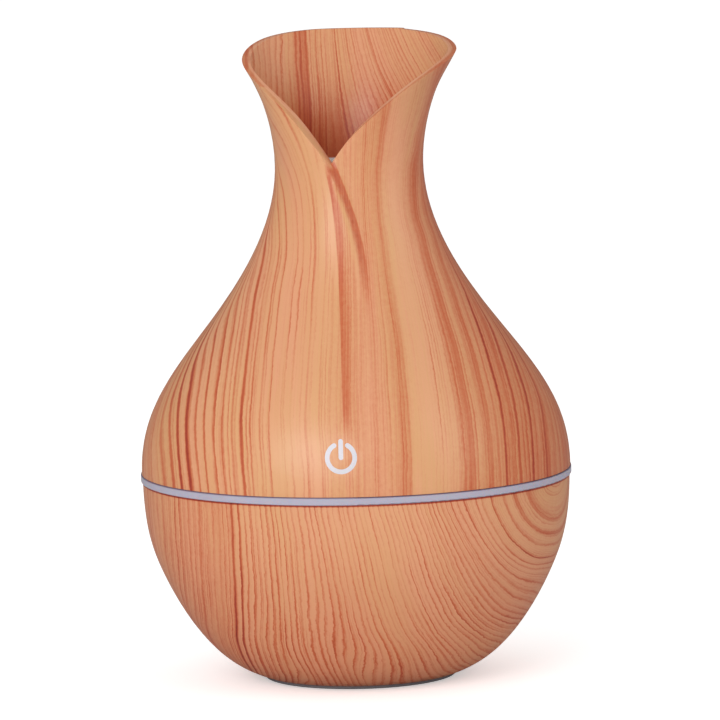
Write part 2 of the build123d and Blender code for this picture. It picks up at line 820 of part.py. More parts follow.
export_step(usb_socket.part, "parts/usb_socket.step")
controller_chip.part.label = "controller_chip"
export_step(controller_chip.part, "parts/controller_chip.step")
inductor.part.label = "inductor"
export_step(inductor.part, "parts/inductor.step")
capacitor.part.label = "capacitor"
export_step(capacitor.part, "parts/capacitor.step")
light_leds.part.label = "light_leds"
export_step(light_leds.part, "parts/light_leds.step")
centre_tube.part.label = "centre_tube"
export_step(centre_tube.part, "parts/centre_tube.step")
disc_gasket.part.label = "disc_gasket"
export_step(disc_gasket.part, "parts/disc_gasket.step")
mist_mesh.part.label = "mist_mesh"
export_step(mist_mesh.part, "parts/mist_mesh.step")
piezo_ring.part.label = "piezo_ring"
export_step(piezo_ring.part, "parts/piezo_ring.step")
mist_nozzle.part.label = "mist_nozzle"
export_step(mist_nozzle.part, "parts/mist_nozzle.step")
wick_sleeve.part.label = "wick_sleeve"
export_step(wick_sleeve.part, "parts/wick_sleeve.step")
sleeve_seal.part.label = "sleeve_seal"
export_step(sleeve_seal.part, "parts/sleeve_seal.step")
wick.part.label = "wick"
export_step(wick.part, "parts/wick.step")
wick_spring.part.label = "wick_spring"
export_step(wick_spring.part, "parts/wick_spring.step")
disc_wires.part.label = "disc_wires"
export_step(disc_wires.part, "parts/disc_wires.step")
touch_wires.part.label = "touch_wires"
export_step(touch_wires.part, "parts/touch_wires.step")
shell_screws.part.label = "shell_screws"
export_step(shell_screws.part, "parts/shell_screws.step")
board_screws.part.label = "board_screws"
export_step(board_screws.part, "parts/board_screws.step")
tube_screws.part.label = "tube_screws"
export_step(tube_screws.part, "parts/tube_screws.step")
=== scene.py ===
"""Visual model of the vase diffuser: materials, floor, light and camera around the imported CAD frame."""

import json
import math
import random

import bpy
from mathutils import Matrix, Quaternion, Vector
from mathutils import noise as fluff_noise


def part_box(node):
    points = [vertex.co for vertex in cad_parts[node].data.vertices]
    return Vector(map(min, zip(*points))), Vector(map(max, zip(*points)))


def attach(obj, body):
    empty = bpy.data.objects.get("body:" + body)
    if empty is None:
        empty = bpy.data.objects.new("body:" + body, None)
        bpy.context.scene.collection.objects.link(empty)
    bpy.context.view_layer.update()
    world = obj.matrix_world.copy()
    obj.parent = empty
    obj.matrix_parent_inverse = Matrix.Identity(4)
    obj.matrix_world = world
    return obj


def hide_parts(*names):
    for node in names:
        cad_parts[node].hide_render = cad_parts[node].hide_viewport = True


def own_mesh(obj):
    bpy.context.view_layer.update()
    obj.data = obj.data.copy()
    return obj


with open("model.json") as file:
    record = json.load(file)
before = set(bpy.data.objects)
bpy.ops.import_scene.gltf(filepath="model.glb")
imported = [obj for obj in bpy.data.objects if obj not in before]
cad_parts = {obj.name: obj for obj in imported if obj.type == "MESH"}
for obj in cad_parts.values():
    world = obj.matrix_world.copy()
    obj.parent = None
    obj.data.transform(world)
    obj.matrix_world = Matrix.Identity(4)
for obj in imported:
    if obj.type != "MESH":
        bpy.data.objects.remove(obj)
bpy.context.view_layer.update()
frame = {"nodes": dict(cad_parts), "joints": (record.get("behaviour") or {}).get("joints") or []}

MM = 0.001
nodes = frame["nodes"]

# Heights read from the frame, in millimetres
joint_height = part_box("tank_bowl")[1].z / MM
shell_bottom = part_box("upper_shell")[0].z / MM
vase_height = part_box("upper_shell")[1].z / MM
wick_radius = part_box("wick")[1].x / MM
wick_bottom, wick_top = (v.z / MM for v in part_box("wick"))
spring_bottom, spring_top = (v.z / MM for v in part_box("wick_spring"))
spring_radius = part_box("wick_spring")[1].x / MM


# ------------------------------------------------------------------ shader arithmetic
class Field:
    """A shader value that takes part in plain arithmetic. Every operation adds one Math node."""

    def __init__(self, tree, socket):
        self.tree = tree
        self.socket = socket

    def math(self, operation, *others):
        node = self.tree.nodes.new("ShaderNodeMath")
        node.operation = operation
        self.tree.links.new(self.socket, node.inputs[0])
        for slot, other in enumerate(others, 1):
            if isinstance(other, Field):
                self.tree.links.new(other.socket, node.inputs[slot])
            else:
                node.inputs[slot].default_value = other
        return Field(self.tree, node.outputs[0])

    def __add__(self, other):
        return self.math("ADD", other)

    def __sub__(self, other):
        return self.math("SUBTRACT", other)

    def __mul__(self, other):
        return self.math("MULTIPLY", other)

    def __truediv__(self, other):
        return self.math("DIVIDE", other)

    def __neg__(self):
        return self * -1.0

    def power(self, exponent):
        return self.math("POWER", exponent)

    def root(self):
        return self.math("SQRT")

    def floor(self):
        return self.math("FLOOR")

    def absolute(self):
        return self.math("ABSOLUTE")

    def at_least(self, limit):
        return self.math("MAXIMUM", limit)

    def above(self, limit):
        return self.math("GREATER_THAN", limit)

    def missing(self):
        """What the value lacks to 1."""
        return -(self - 1.0)

    def smooth(self, low, high, start=0.0, end=1.0):
        """Goes smoothly from start to end as the value goes from low to high."""
        node = self.tree.nodes.new("ShaderNodeMapRange")
        node.interpolation_type = "SMOOTHSTEP"
        self.tree.links.new(self.socket, node.inputs["Value"])
        for name, value in (("From Min", low), ("From Max", high), ("To Min", start), ("To Max", end)):
            if isinstance(value, Field):
                self.tree.links.new(value.socket, node.inputs[name])
            else:
                node.inputs[name].default_value = value
        return Field(self.tree, node.outputs["Result"])

    def through(self, points):
        """Passes the value through a smooth curve given as (value, result) points."""
        first, last = points[0][0], points[-1][0]
        results = [result for _, result in points]
        low, high = min(results), max(results)
        node = self.tree.nodes.new("ShaderNodeFloatCurve")
        curve = node.mapping.curves[0]
        span, rise = last - first, high - low
        scaled = [((value - first) / span, (result - low) / rise) for value, result in points]
        while len(curve.points) < len(scaled):
            curve.points.new(0.5, 0.5)
        for point, place in zip(curve.points, scaled):
            point.location = place
            point.handle_type = "AUTO_CLAMPED"
        node.mapping.update()
        share = (self - first) / span
        self.tree.links.new(share.socket, node.inputs["Value"])
        return Field(self.tree, node.outputs["Value"]) * rise + low


def mixed(a, b, share):
    """a where share is 0, b where it is 1."""
    return a + (b - a) * share


def linear(r, g, b):
    """Colour given as on screen, 0 to 255, as Blender's linear values."""
    channels = [((c / 255 + 0.055) / 1.055) ** 2.4 if c > 10 else c / 255 / 12.92 for c in (r, g, b)]
    return (*channels, 1.0)


def vector(tree, x, y, z):
    """A vector socket made of three fields or numbers."""
    node = tree.nodes.new("ShaderNodeCombineXYZ")
    for slot, value in enumerate((x, y, z)):
        if isinstance(value, Field):
            tree.links.new(value.socket, node.inputs[slot])
        else:
            node.inputs[slot].default_value = value
    return node.outputs[0]


def noise(tree, where, scale, detail=2.0, roughness=0.5):
    """Noise of a vector socket, centred on zero, about -0.5 to 0.5."""
    node = tree.nodes.new("ShaderNodeTexNoise")
    node.inputs["Scale"].default_value = scale
    node.inputs["Detail"].default_value = detail
    node.inputs["Roughness"].default_value = roughness
    tree.links.new(where, node.inputs["Vector"])
    return Field(tree, node.outputs[0]) - 0.5


def random_of(tree, value, seed=0.0):
    """A random number from 0 to 1 for each whole value."""
    node = tree.nodes.new("ShaderNodeTexWhiteNoise")
    node.noise_dimensions = "1D"
    tree.links.new((value + seed).socket, node.inputs["W"])
    return Field(tree, node.outputs["Value"])


def new_material(name):
    """A new material, its node tree and its shader."""
    material = bpy.data.materials.new(name)
    material.use_nodes = True
    tree = material.node_tree
    return material, tree, tree.nodes["Principled BSDF"]


def place(tree):
    """The surface point in millimetres, as three fields and one vector socket."""
    coordinate = tree.nodes.new("ShaderNodeTexCoord")
    scale = tree.nodes.new("ShaderNodeVectorMath")
    scale.operation = "SCALE"
    scale.inputs["Scale"].default_value = 1 / MM
    tree.links.new(coordinate.outputs["Object"], scale.inputs[0])
    split = tree.nodes.new("ShaderNodeSeparateXYZ")
    tree.links.new(scale.outputs[0], split.inputs[0])
    x, y, z = (Field(tree, split.outputs[k]) for k in range(3))
    return x, y, z, scale.outputs[0]


def blend_colour(tree, share, first, second):
    """Mix of two colours, each a colour tuple or a socket."""
    node = tree.nodes.new("ShaderNodeMix")
    node.data_type = "RGBA"
    tree.links.new(share.socket, node.inputs["Factor"])
    for name, colour in (("A", first), ("B", second)):
        slot = [s for s in node.inputs if s.name == name and s.type == "RGBA"][0]
        if isinstance(colour, tuple):
            slot.default_value = colour
        else:
            tree.links.new(colour, slot)
    return [s for s in node.outputs if s.type == "RGBA"][0]


def add_bump(tree, shader, height, distance, strength):
    """Relief on a shader from a height field. The distance is in millimetres."""
    node = tree.nodes.new("ShaderNodeBump")
    node.inputs["Strength"].default_value = strength
    node.inputs["Distance"].default_value = distance * MM
    tree.links.new(height.socket, node.inputs["Height"])
    tree.links.new(node.outputs[0], shader.inputs["Normal"])


# ------------------------------------------------------------------ wood-grain print
# Colours of the print from its palest ground to its darkest line
GOLD = linear(210, 158, 109)
PEACH = linear(218, 157, 119)
PINK = linear(210, 137, 105)
RUST = linear(190, 95, 56)
BRICK = linear(162, 58, 34)
DEEP = linear(124, 36, 22)
INNER_WHITE = linear(240, 239, 236)

vase_profile = [(shell_bottom, 47.5), (60, 44.7), (80, 31.1), (100, 19.15), (115.5, 16.4), (130, 19.6),
                (vase_height + 1, 26.6)]
bowl_profile = [(0.8, 21.8), (2.6, 25.6), (8, 33.0), (15, 38.6), (24, 43.2), (34, 46.2), (joint_height, 47.3)]

# Span of the places across the grain, and the shift that gives the collar's inner face its own part of it
flow_low, flow_high = -120.0, 250.0
inner_shift = 160.0

# The print ends at this height inside the neck, and bare white plastic follows below
print_end = 114.0


def unrolled(x, y, radius):
    """Sideways place of a point, equal to x at the front and stretched round the sides and back."""
    share = y / radius
    side = (x / radius).smooth(-1.0, 1.0, -1.0, 1.0)
    return x + side * share.smooth(-0.40, 0.62, 0.0, 22.0)


def upper_flow(tree, x, y, z, point, radius):
    """Grain of the upper shell, as the sideways place that each grain line has at the belt."""
    left = z.through([(44, 1.0), (58, 1.02), (70, 0.985), (85, 0.895), (100, 0.78), (108, 0.8), (116, 0.95),
                      (124, 1.25), (132, 1.7), (144, 2.1)])
    right = z.through([(44, 1.0), (58, 0.99), (70, 0.93), (85, 0.78), (98, 0.64), (109, 0.57), (118, 0.63),
                       (128, 0.76), (136, 0.86), (144, 1.0)])
    spread = mixed(left, right, x.smooth(-8, 8))
    wander = noise(tree, point, 0.03, 1.0) * 1.6
    return unrolled(x, y, radius) / spread + wander


def collar_flow(tree, x, z, point):
    """Grain of the collar's inner face, where the lines lean more towards the sides."""
    lean = (x + 4.0).at_least(0.0) * 0.032 + 0.03
    return x + lean * (z - 130.0) + noise(tree, point, 0.05, 1.0) * 1.2 + inner_shift


def bowl_flow(tree, x, y, z, point, radius):
    """Grain of the bowl: nested arches about a point at the right of the belt."""
    centre_across, centre_height = 44.0, 46.0
    across = -(unrolled(x, y, radius) - centre_across)
    down = -(z - centre_height)
    reach = (across * across + down * down).root()
    drop = z.through([(0, 33.0), (4, 30.5), (10, 27.5), (17, 22.9), (23.5, 19.6), (28.5, 17.0), (33.5, 14.3),
                      (38.5, 10.5), (43.5, 4.0), (46, 0.0)])
    pull = reach.through([(0, 0.5), (8, 0.52), (12, 0.62), (18, 0.82), (27, 1.0), (46, 1.0), (62, 0.68),
                          (70, 0.5), (77, 0.28), (85, 0.5), (110, 0.4), (140, 0.3)])
    foot_pull = z.smooth(2, 14, 11.0, 0.0) * reach.smooth(55, 75)
    depth = drop * pull + foot_pull
    wander = noise(tree, point, 0.04, 1.0) * 1.4
    return (across * across + depth * depth).root() + wander


def rings(tree, flow, counts, crisp, evenness, seed, waver):
    """Growth rings: darkness climbs through each ring and drops at its outer edge. Rings vary in width."""
    drift = noise(tree, vector(tree, flow * 0.11, seed, 0.0), 1.0, 2.0, 0.6) * (5.0 - 3.5 * evenness)
    phase = (flow + waver).through(counts) + drift
    index = phase.floor()
    share = phase - index
    strength = random_of(tree, index, seed)
    sharpness = random_of(tree, index, seed + 40.0) * (3.0 - 2.0 * evenness) + crisp
    climb = share.power(sharpness)
    drop = share.smooth(0.8, 1.0, 1.0, 0.0)
    return climb * drop * (strength * (1.0 - 0.6 * evenness) + 0.3 + 0.5 * evenness)


def thin_line(flow, centre, half_width):
    """1 at one grain line, falling to 0 at its half width."""
    return (flow - centre).absolute().smooth(0.0, half_width, 1.0, 0.0)


def broad_band(flow, edge, reach):
    """Darkness that climbs over a reach up to a crisp edge."""
    return flow.smooth(edge - reach, edge - reach * 0.12) * flow.smooth(edge - 0.1, edge + 0.35, 1.0, 0.0)


def fold_shade_and_highlights(x, y, z):
    """Painted shade on the petal's lip and on the soft crease that runs straight down from the notch, with
    painted highlights on the lip's crest and on the ridge beside the crease.
    """
    front = y.smooth(-6.0, -3.0, 1.0, 0.0)
    foot = z.through([(82, 3.9), (92, 3.5), (100, 2.2), (108, -0.25), (115, -2.8)])
    beside = x - foot
    reach = z.smooth(80, 99) * z.smooth(115.0, 116.3, 1.0, 0.0)
    # Painted shade on the lip's slope, and a painted highlight on its crest
    lip = beside.smooth(-2.0, -1.0) * beside.smooth(-0.25, 0.15, 1.0, 0.0) * reach * 0.42
    crest_highlight = beside.smooth(-3.0, -2.3) * beside.smooth(-2.1, -1.7, 1.0, 0.0) * reach * -0.2
    crease = z.through([(56, -2.6), (87, -2.8), (100, -3.3), (115, -5.4)])
    along = x - crease
    fading = z.smooth(56, 66) * z.smooth(114.8, 116.3, 1.0, 0.0)
    # Painted shadow to the right of the crease, and a painted highlight on the ridge to its left
    soft = along.smooth(-0.15, 0.2) * along.smooth(0.4, 3.0, 1.0, 0.0) * fading * 0.42
    ridge_highlight = along.smooth(-1.6, -0.7) * along.smooth(-0.25, 0.0, 1.0, 0.0) * z.smooth(84, 100) * fading * -0.3
    return (lip + crest_highlight + soft + ridge_highlight) * front


def upper_shading(darkness, fields, inner, rim_face, rim):
    """Line darkness of the upper half, with painted shade and highlights along its fold, painted light and
    shade on its rim and painted shade that deepens down its inner face.
    """
    x, y, z = fields
    outside = inner.missing()
    # The print is calmer on the right of the neck and near the belt
    darkness = darkness * (z.smooth(72, 100) * x.smooth(-2, 9) * 0.5 * outside).missing()
    darkness = darkness * z.smooth(56, 98, 0.9, 1.1)
    # Painted shade and highlights along the fold, and painted shade on the inner face that deepens down the
    # neck
    darkness = darkness + fold_shade_and_highlights(x, y, z) * outside + inner * z.smooth(112, 136, 0.55, 0.0)
    # The rim gets fewer lines, a painted highlight, and the outer half of the rim is painted darker higher
    # up, a painted shade
    rim_highlight = rim_face * y.smooth(-6.0, 4.0, 0.75, 0.25)
    darkness = darkness * rim_highlight.missing() + (rim_face - rim) * z.smooth(119, 128) * 0.3
    return darkness + z.smooth(80, 112) * x.smooth(1, 9) * outside * 0.12


def bowl_shading(darkness, z):
    """Line darkness of the bowl: stronger towards the foot, and closed by a painted seam shadow at the top
    edge.
    """
    darkness = darkness * z.smooth(8, 36, 1.4, 1.0) + z.smooth(4, 24, 0.05, 0.0)
    # Painted seam shadow along the bowl's top edge, under the belt
    return darkness + z.smooth(joint_height - 0.5, joint_height - 0.2) * 1.1


def rim_share(tree, x, y, axis_distance):
    """1 on faces that look neither outwards nor inwards, such as the collar's rim."""
    coordinate = tree.nodes.new("ShaderNodeTexCoord")
    split = tree.nodes.new("ShaderNodeSeparateXYZ")
    tree.links.new(coordinate.outputs["Normal"], split.inputs[0])
    nx, ny = (Field(tree, split.outputs[k]) for k in range(2))
    outward = ((nx * x + ny * y) / axis_distance).absolute()
    return outward.smooth(0.45, 0.8, 1.0, 0.0)


def print_colours(tree, darkness, tone, pink):
    """Colours of the wood print from line darkness, broad tone and the share of pink."""
    ground = blend_colour(tree, tone, GOLD, PEACH)
    ground = blend_colour(tree, pink, ground, PINK)
    middle = blend_colour(tree, darkness.smooth(0.0, 0.8), ground, RUST)
    dark = blend_colour(tree, darkness.smooth(0.6, 1.3), middle, BRICK)
    return blend_colour(tree, darkness.smooth(1.2, 1.9), dark, DEEP)


def along_grain(tree, flow, point_fields, across, along, seed):
    """Noise place that changes fast across the grain and slowly along it."""
    x, y, z = point_fields
    return vector(tree, flow * across, (x + z) * along + seed, (z - y) * along)


def wood_print(name, profile, flow_of, counts, pitch, evenness, lines, bands, tones, shades, seed, collar):
    """Printed wood grain outside and on the collar's inner face, and bare white plastic elsewhere inside."""
    material, tree, shader = new_material(name)
    x, y, z, point = place(tree)
    axis_distance = (x * x + y * y).root()
    radius = z.through(profile)
    depth = radius - axis_distance
    inner = depth.smooth(0.9, 1.1)
    flow = flow_of(tree, x, y, z, point, radius)
    if collar:
        rim_face = rim_share(tree, x, y, axis_distance) * z.smooth(113.5, 115.0)
        inside = inner.math("MAXIMUM", rim_face * y.above(-8.0)).above(0.5)
        flow = mixed(flow, collar_flow(tree, x, z, point), inside * y.above(-12.0))
    fields = (x, y, z)
    kinks = noise(tree, along_grain(tree, flow, fields, 0.35, 0.10, seed), 1.0, 2.0)
    waver = kinks * (0.9 - 0.4 * evenness) + noise(tree, point, 0.9, 2.0, 0.6) * 0.45
    flow_line = flow + waver * 0.5
    crisp_arches = 0.0 if collar else 3.0
    crisp = flow.smooth(14, 26, crisp_arches, 0.0) + (3.0 - 1.8 * evenness)
    coarse = rings(tree, flow, counts, crisp, evenness, seed, waver)
    fine_counts = [(flow_low, 0.0), (flow_high, (flow_high - flow_low) / (pitch * 0.37))]
    fine = rings(tree, flow, fine_counts, 1.2, 0.0, seed + 9.0, waver)
    fibre = noise(tree, along_grain(tree, flow, fields, 3.2, 0.05, seed + 3.0), 1.0, 3.0, 0.7)
    fade = noise(tree, along_grain(tree, flow, fields, 0.12, 0.02, seed + 5.0), 1.0, 2.0)
    patch = noise(tree, along_grain(tree, flow, fields, 0.5, 0.035, seed + 6.0), 1.0, 2.0)
    local = flow.through(tones)
    broken = (fibre * 1.6 + 1.0).at_least(0.3)
    darkness = coarse * (fade * (2.0 - 1.8 * evenness) + 1.0) * local * broken
    darkness = darkness + fine * (patch * 1.6 + 0.32)
    for centre, half_width, strength in lines:
        darkness = darkness + thin_line(flow_line, centre, half_width) * (patch * 0.9 + 1.0) * strength
    for edge, reach, strength in bands:
        darkness = darkness + broad_band(flow_line, edge, reach) * (fade * 1.6 + 1.0) * strength
    tone = (fade * (2.4 - 1.6 * evenness) + fibre * 1.3 + 0.4 + 0.2 * evenness).smooth(0.0, 1.0)
    if collar:
        # The inner half of the rim is painted paler, a painted highlight where it faces up to the light
        rim = rim_face * depth.smooth(0.35, 0.75)
        darkness = upper_shading(darkness, fields, inner, rim_face, rim)
        tone = tone + rim
    else:
        darkness = bowl_shading(darkness, z)
    mottle = noise(tree, point, 1.1, 3.0, 0.7) * 0.3
    darkness = darkness + fibre * 0.42 + mottle + flow.through(shades)
    blush = noise(tree, along_grain(tree, flow, fields, 0.05, 0.015, seed + 7.0), 1.0, 1.0)
    pink = blush.smooth(0.0, 0.3, 0.0, 0.35)
    if not collar:
        # The bowl's print turns redder towards the foot
        pink = pink + z.smooth(8, 50, 0.4, 0.0)
    colour = print_colours(tree, darkness, tone, pink)
    bare = inner * (z.smooth(print_end - 0.3, print_end + 0.2, 1.0, 0.0) if collar else 1.0)
    colour = blend_colour(tree, bare, colour, INNER_WHITE)
    tree.links.new(colour, shader.inputs["Base Color"])
    satin = fibre * 0.10 + darkness * 0.05 + noise(tree, point, 0.6, 3.0) * 0.08 + 0.36
    tree.links.new(satin.socket, shader.inputs["Roughness"])
    shader.inputs["Specular IOR Level"].default_value = 0.45
    relief = (darkness * -0.6 + fibre * 0.6) * bare.missing() + noise(tree, point, 1.6, 2.0) * 0.5
    add_bump(tree, shader, relief, 0.03, 0.5)
    return material


def line_row(first, spacing, count, half_width, strength):
    """Evenly spaced dark lines, from the first one's place across the grain."""
    return [(first + spacing * k, half_width, strength) for k in range(count)]


# A close row of dark lines on the left, a wider one on the right, and a few strong single lines
upper_lines = line_row(-42.0, 2.0, 13, 0.45, 0.4) + line_row(32.5, 3.0, 4, 0.45, 0.5)
upper_lines += [(-38.0, 0.5, 0.6), (-36.0, 0.6, 0.7), (-24.0, 0.7, 0.5), (-10.0, 0.5, 0.4)]
upper_bands = [(12.2, 4.2, 0.3), (25.6, 4.6, 0.36), (29.2, 1.4, 0.3), (151.5, 5.0, 0.3)]
upper_tones = [(-110, 0.7), (-46, 0.75), (-24, 0.85), (-19, 0.8), (-9, 0.6), (0, 0.3), (12, 0.22), (16, 0.12),
               (21, 0.2), (29, 0.4), (44, 0.55), (60, 0.7), (110, 0.7), (114, 0.5), (240, 0.5)]
upper_shades = [(-110, 0.28), (-60, 0.28), (-40, 0.18), (-30, 0.08), (-22, 0.02), (-14, -0.1), (-8, 0.0),
                (-2, 0.16), (4, 0.2), (11, 0.16), (16, 0.0), (21, 0.08), (29, 0.3), (44, 0.42), (110, 0.3),
                (114, 0.14), (240, 0.14)]
upper_counts = [(-120, 0), (-50, 35), (-30, 46), (-5, 60), (30, 77), (50, 91), (110, 120), (250, 236)]
upper_wood = wood_print("wood_print_upper", vase_profile, upper_flow, upper_counts, 2.1, 0.35, upper_lines,
                        upper_bands, upper_tones, upper_shades, 3.0, True)
bowl_lines = [(71.3, 0.45, 0.75), (69.8, 0.4, 0.7)]
bowl_tones = [(0, 1.3), (12, 1.3), (18, 0.95), (28, 0.8), (40, 0.75), (66, 1.0), (69, 0.7), (73, 0.45),
              (85, 0.4), (130, 0.6), (160, 0.8)]
bowl_shades = [(0, 0.2), (14, 0.12), (24, 0.04), (40, -0.05), (60, -0.06), (70, 0.02), (76, 0.22), (90, 0.22),
               (160, 0.18)]
# Wide rings near the arches' centre, then close ones
bowl_counts = [(0, 0.4), (13, 4), (20, 8), (40, 27), (70, 53), (160, 125)]
bowl_wood = wood_print("wood_print_bowl", bowl_profile, bowl_flow, bowl_counts, 1.25, 0.75, bowl_lines, [],
                       bowl_tones, bowl_shades, 11.0, False)


# ------------------------------------------------------------------ other materials
def finish_of(name, colour, roughness, variation=0.08, scale=0.4, bump=0.01, bump_scale=3.0, scuffs=0.0,
              **inputs):
    """Principled finish with mottled colour, uneven roughness, fine relief and a few scuffs."""
    material, tree, shader = new_material(name)
    x, y, z, point = place(tree)
    mottle = noise(tree, point, scale, 4.0, 0.6)
    dark = tuple(c * (1.0 - variation) for c in colour[:3]) + (1.0,)
    light = tuple(min(c * (1.0 + variation), 1.0) for c in colour[:3]) + (1.0,)
    shade = blend_colour(tree, mottle * 1.6 + 0.5, dark, light)
    rough = mottle * 0.15 + roughness
    relief = noise(tree, point, bump_scale, 3.0)
    if scuffs:
        stretched = vector(tree, x * 0.4 + y * 0.3, y * 2.0, z * 2.5)
        marks = noise(tree, stretched, 2.2, 5.0, 0.75).smooth(0.12, 0.2)
        shade = blend_colour(tree, marks * scuffs, shade, light)
        rough = rough + marks * scuffs * 0.5
        relief = relief - marks * scuffs
    tree.links.new(shade, shader.inputs["Base Color"])
    tree.links.new(rough.socket, shader.inputs["Roughness"])
    for label, value in inputs.items():
        shader.inputs[label.replace("_", " ")].default_value = value
    add_bump(tree, shader, relief, bump, 0.6)
    return material, tree, shader, (x, y, z, point), shade


def band_finish():
    """Milky light band, with a thin shadow in the seams above and below it."""
    material, tree, shader, (_, _, z, _), shade = finish_of(
        "light_band", linear(172, 170, 186), 0.38, 0.04, 0.15, 0.004,
        Subsurface_Weight=0.25, Subsurface_Scale=0.002)
    upper_seam = z.smooth(shell_bottom - 0.42, shell_bottom - 0.12)
    lower_seam = z.smooth(joint_height + 0.02, joint_height + 0.2, 1.0, 0.0)
    shade = blend_colour(tree, upper_seam + lower_seam * 0.7, shade, linear(104, 84, 104))
    tree.links.new(shade, shader.inputs["Base Color"])
    return material


def board_finish():
    """Green solder mask over copper tracks, with bare tinned pads."""
    material, tree, shader, (_, _, _, point), shade = finish_of(
        "circuit_board", linear(24, 96, 58), 0.34, 0.10, 0.5, 0.01)
    cells = tree.nodes.new("ShaderNodeTexVoronoi")
    cells.distance = "MANHATTAN"
    cells.feature = "F2"
    cells.inputs["Scale"].default_value = 0.16
    tree.links.new(point, cells.inputs["Vector"])
    level = Field(tree, cells.outputs["Distance"]) * 6.0
    tracks = (level - level.floor() - 0.5).absolute().smooth(0.30, 0.34)
    shade = blend_colour(tree, tracks, shade, linear(40, 130, 80))
    spots = tree.nodes.new("ShaderNodeTexVoronoi")
    spots.inputs["Scale"].default_value = 0.22
    tree.links.new(point, spots.inputs["Vector"])
    pads = Field(tree, spots.outputs["Distance"]).smooth(0.11, 0.14, 1.0, 0.0)
    shade = blend_colour(tree, pads, shade, linear(205, 200, 186))
    tree.links.new(shade, shader.inputs["Base Color"])
    tree.links.new((pads * 0.9).socket, shader.inputs["Metallic"])
    return material


def mesh_finish():
    """Steel disc with a round patch of fine pores in its middle."""
    material, tree, shader, (x, y, _, point), shade = finish_of(
        "mist_mesh", linear(200, 200, 204), 0.22, 0.05, 1.0, 0.004, Metallic=1.0)
    pores = tree.nodes.new("ShaderNodeTexVoronoi")
    pores.inputs["Scale"].default_value = 5.0
    pores.inputs["Randomness"].default_value = 0.15
    tree.links.new(point, pores.inputs["Vector"])
    middle = (x * x + y * y).root().smooth(1.9, 2.1, 1.0, 0.0)
    dots = Field(tree, pores.outputs["Distance"]).smooth(0.18, 0.28, 1.0, 0.0) * middle
    shade = blend_colour(tree, dots, shade, linear(46, 44, 42))
    tree.links.new(shade, shader.inputs["Base Color"])
    return material


def winding_finish(heights):
    """Ferrite core with enamelled copper turns between two heights."""
    material, tree, shader, (_, _, z, point), shade = finish_of(
        "inductor", linear(46, 46, 48), 0.6, 0.12, 1.2, 0.02)
    low, high = heights
    turns = z * 2.6 + noise(tree, point, 0.4, 1.0) * 0.2
    groove = (turns - turns.floor() - 0.5).absolute()
    wound = z.smooth(low, low + 0.05) * z.smooth(high - 0.05, high, 1.0, 0.0)
    # The copper is painted darker in the grooves between turns, a painted shade
    copper = blend_colour(tree, groove.smooth(0.3, 0.5), linear(196, 104, 52), linear(90, 40, 20))
    shade = blend_colour(tree, wound, shade, copper)
    tree.links.new(shade, shader.inputs["Base Color"])
    tree.links.new((wound * 0.8).socket, shader.inputs["Metallic"])
    add_bump(tree, shader, groove * wound * -1.0, 0.15, 0.8)
    return material


def can_finish(top):
    """Aluminium can in a dark sleeve, with a scored top."""
    material, tree, shader, (_, y, z, _), shade = finish_of(
        "capacitor", linear(206, 208, 210), 0.3, 0.05, 1.0, 0.01, Metallic=0.9)
    sleeve = z.smooth(top - 0.6, top - 0.5, 1.0, 0.0)
    can_forward = 15.0  # how far in front of the axis the can stands
    stripe = (y + can_forward).smooth(2.1, 2.3)
    wrap = blend_colour(tree, stripe, linear(38, 40, 62), linear(196, 198, 206))
    tree.links.new(blend_colour(tree, sleeve, shade, wrap), shader.inputs["Base Color"])
    tree.links.new((-(sleeve * 0.9 - 0.9)).socket, shader.inputs["Metallic"])
    return material


def led_finish(name):
    """White package, with a yellow phosphor window where it lies 38 to 40 mm from the axis."""
    material, tree, shader, (x, y, _, _), shade = finish_of(
        name, linear(238, 238, 234), 0.4, 0.03, 2.0, 0.01)
    distance = (x * x + y * y).root()
    window = distance.smooth(38.2, 38.6) * distance.smooth(40.0, 40.4, 1.0, 0.0)
    tree.links.new(blend_colour(tree, window, shade, linear(232, 200, 60)), shader.inputs["Base Color"])
    return material


def cotton_finish():
    """Pressed cotton: fine fibres along the wick, slightly uneven and fully matt."""
    material, tree, shader, (x, y, z, point), _ = finish_of(
        "cotton", linear(240, 235, 222), 0.95, 0.06, 0.5, 0.02)
    turn = y.math("ARCTAN2", x)
    strands = noise(tree, vector(tree, turn * 9.0, z * 0.25, 0.0), 1.6, 4.0, 0.7)
    fluff = noise(tree, point, 4.0, 5.0, 0.8)
    shade = blend_colour(tree, strands * 1.8 + 0.5, linear(214, 205, 184), linear(248, 245, 236))
    damp = z.smooth(16.0, 60.0, 0.25, 0.0)
    shade = blend_colour(tree, damp, shade, linear(196, 188, 166))
    tree.links.new(shade, shader.inputs["Base Color"])
    shader.inputs["Sheen Weight"].default_value = 0.5
    shader.inputs["Specular IOR Level"].default_value = 0.1
    add_bump(tree, shader, strands + fluff * 0.6, 0.25, 0.9)
    return material


def leads_finish(name, colours, width, offset):
    """Insulation in a different colour for each lead, told apart by where it lies across the part."""
    material, tree, shader, (x, y, _, _), _ = finish_of(
        name, linear(200, 200, 200), 0.4, 0.04, 2.0, 0.01)
    across = y if name == "disc_wires" else x
    shade = colours[0]
    for step, colour in enumerate(colours[1:]):
        share = across.above(offset + width * step)
        shade = blend_colour(tree, share, shade, colour)
    tree.links.new(shade, shader.inputs["Base Color"])
    return material


coil_low, coil_high = (v.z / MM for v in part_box("inductor"))
can_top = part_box("capacitor")[1].z / MM

